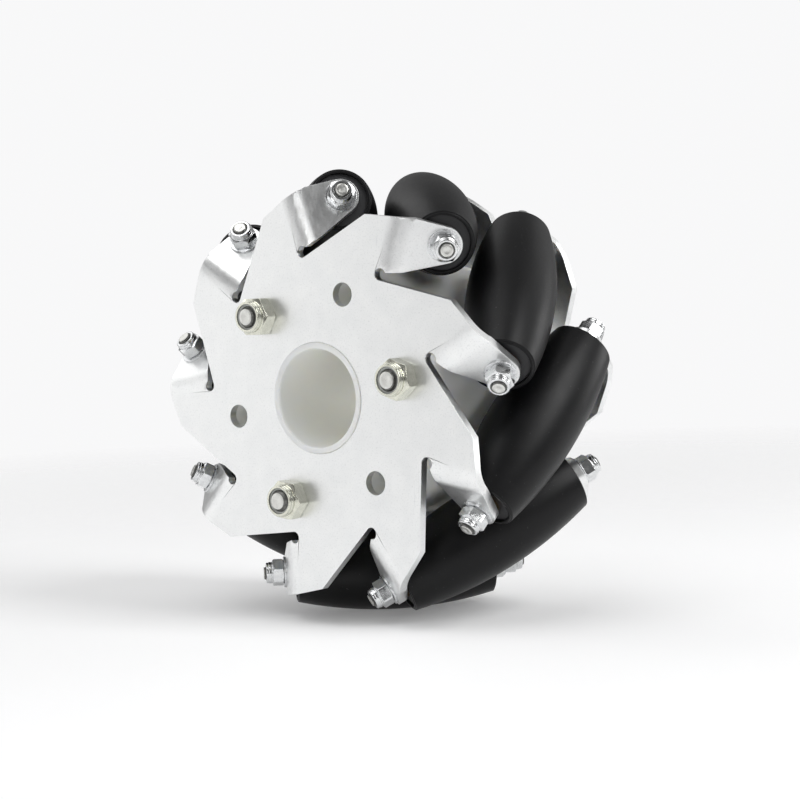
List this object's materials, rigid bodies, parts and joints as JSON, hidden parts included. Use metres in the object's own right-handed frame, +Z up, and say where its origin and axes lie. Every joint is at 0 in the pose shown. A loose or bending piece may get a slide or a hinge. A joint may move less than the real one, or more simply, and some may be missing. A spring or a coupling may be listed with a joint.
{
  "type": "mecanum wheel",
  "caption": "Mecanum wheel: barrel rollers leaning at 45 degrees, free to spin on studs between two folded aluminium plates clamped to a nylon hub spacer.",
  "frame": {"origin": "the wheel's centre: on its axle line, half way between the two plates", "axes": "+Y along the wheel's own axle, away from the face with the clamp nuts; +Z up when the wheel stands on its lowest roller; +X to the right seen from the clamp-nut face"},
  "size_m": [0.1, 0.0589, 0.1],
  "materials": {
    "plate": "satin, lightly brushed sheet",
    "spacer": "turned natural nylon",
    "zinc_steel": "bright zinc plate",
    "roller_rubber": "satin moulded rubber",
    "roller_nylon": "moulded nylon",
    "bush_brass": "turned",
    "nut_nylon": "moulded nylon"
  },
  "bodies": {
    "wheel_frame": {"front_plate": "plate", "rear_plate": "plate", "hub_spacer": "spacer", "clamp_bolt_1": "zinc_steel", "clamp_nut_1": "zinc_steel", "clamp_bolt_2": "zinc_steel", "clamp_nut_2": "zinc_steel", "clamp_bolt_3": "zinc_steel", "clamp_nut_3": "zinc_steel", "roller_axle_1": "zinc_steel", "roller_nuts_1": "zinc_steel", "roller_axle_2": "zinc_steel", "roller_nuts_2": "zinc_steel", "roller_axle_3": "zinc_steel", "roller_nuts_3": "zinc_steel", "roller_axle_4": "zinc_steel", "roller_nuts_4": "zinc_steel", "roller_axle_5": "zinc_steel", "roller_nuts_5": "zinc_steel", "roller_axle_6": "zinc_steel", "roller_nuts_6": "zinc_steel", "roller_axle_7": "zinc_steel", "roller_nuts_7": "zinc_steel", "roller_axle_8": "zinc_steel", "roller_nuts_8": "zinc_steel", "roller_axle_9": "zinc_steel", "roller_nuts_9": "zinc_steel", "clamp_nut_inserts": "nut_nylon", "roller_nut_inserts": "nut_nylon", "roller_washers": "zinc_steel"},
    "roller_1": {"roller_tyre_1": "roller_rubber", "roller_core_1": "roller_nylon", "roller_bushes_1": "bush_brass"},
    "roller_2": {"roller_tyre_2": "roller_rubber", "roller_core_2": "roller_nylon", "roller_bushes_2": "bush_brass"},
    "roller_3": {"roller_tyre_3": "roller_rubber", "roller_core_3": "roller_nylon", "roller_bushes_3": "bush_brass"},
    "roller_4": {"roller_tyre_4": "roller_rubber", "roller_core_4": "roller_nylon", "roller_bushes_4": "bush_brass"},
    "roller_5": {"roller_tyre_5": "roller_rubber", "roller_core_5": "roller_nylon", "roller_bushes_5": "bush_brass"},
    "roller_6": {"roller_tyre_6": "roller_rubber", "roller_core_6": "roller_nylon", "roller_bushes_6": "bush_brass"},
    "roller_7": {"roller_tyre_7": "roller_rubber", "roller_core_7": "roller_nylon", "roller_bushes_7": "bush_brass"},
    "roller_8": {"roller_tyre_8": "roller_rubber", "roller_core_8": "roller_nylon", "roller_bushes_8": "bush_brass"},
    "roller_9": {"roller_tyre_9": "roller_rubber", "roller_core_9": "roller_nylon", "roller_bushes_9": "bush_brass"}
  },
  "joints": [
    {"name": "roller_spin_1", "type": "hinge", "parent": "wheel_frame", "child": "roller_1", "pos_m": [-0.01375, 0, 0.03778], "axis": [0.6645, -0.7071, 0.2418], "continuous": true},
    {"name": "roller_spin_2", "type": "hinge", "parent": "wheel_frame", "child": "roller_2", "pos_m": [0.01375, 0, 0.03778], "axis": [0.6645, -0.7071, -0.2418], "continuous": true},
    {"name": "roller_spin_3", "type": "hinge", "parent": "wheel_frame", "child": "roller_3", "pos_m": [0.03481, 0, 0.0201], "axis": [0.3536, -0.7071, -0.6124], "continuous": true},
    {"name": "roller_spin_4", "type": "hinge", "parent": "wheel_frame", "child": "roller_4", "pos_m": [0.03959, 0, -0.00698], "axis": [-0.1228, -0.7071, -0.6964], "continuous": true},
    {"name": "roller_spin_5", "type": "hinge", "parent": "wheel_frame", "child": "roller_5", "pos_m": [0.02584, 0, -0.03079], "axis": [-0.5417, -0.7071, -0.4545], "continuous": true},
    {"name": "roller_spin_6", "type": "hinge", "parent": "wheel_frame", "child": "roller_6", "pos_m": [0, 0, -0.0402], "axis": [-0.7071, -0.7071, 0], "continuous": true},
    {"name": "roller_spin_7", "type": "hinge", "parent": "wheel_frame", "child": "roller_7", "pos_m": [-0.02584, 0, -0.03079], "axis": [-0.5417, -0.7071, 0.4545], "continuous": true},
    {"name": "roller_spin_8", "type": "hinge", "parent": "wheel_frame", "child": "roller_8", "pos_m": [-0.03959, 0, -0.00698], "axis": [-0.1228, -0.7071, 0.6964], "continuous": true},
    {"name": "roller_spin_9", "type": "hinge", "parent": "wheel_frame", "child": "roller_9", "pos_m": [-0.03481, 0, 0.0201], "axis": [0.3536, -0.7071, 0.6124], "continuous": true}
  ]
}
